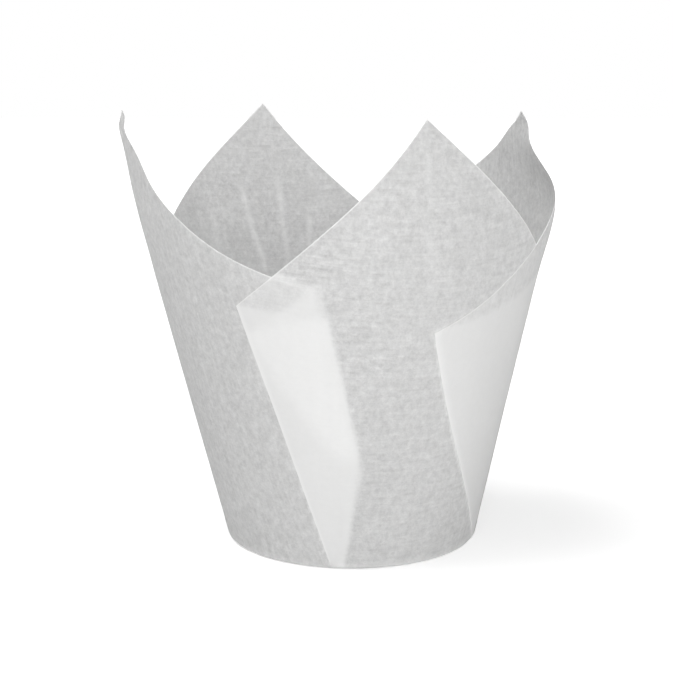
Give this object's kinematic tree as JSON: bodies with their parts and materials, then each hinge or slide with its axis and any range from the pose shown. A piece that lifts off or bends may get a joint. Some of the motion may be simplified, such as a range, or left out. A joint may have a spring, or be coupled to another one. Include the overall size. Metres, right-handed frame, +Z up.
{
  "type": "cupcake liner",
  "caption": "Tulip baking cup folded from one square sheet of white greaseproof paper, with pointed petals and knife pleats.",
  "frame": {"origin": "centre of the base, on its underside", "axes": "+Z up along the cup; -Y towards the front, which is the side with the tucked pleat; +X to the right of someone who stands before it"},
  "size_m": [0.0854, 0.0824, 0.0871],
  "materials": {
    "paper": "matt, slightly translucent white greaseproof paper"
  },
  "bodies": {
    "root": {"liner": "paper"}
  },
  "joints": []
}
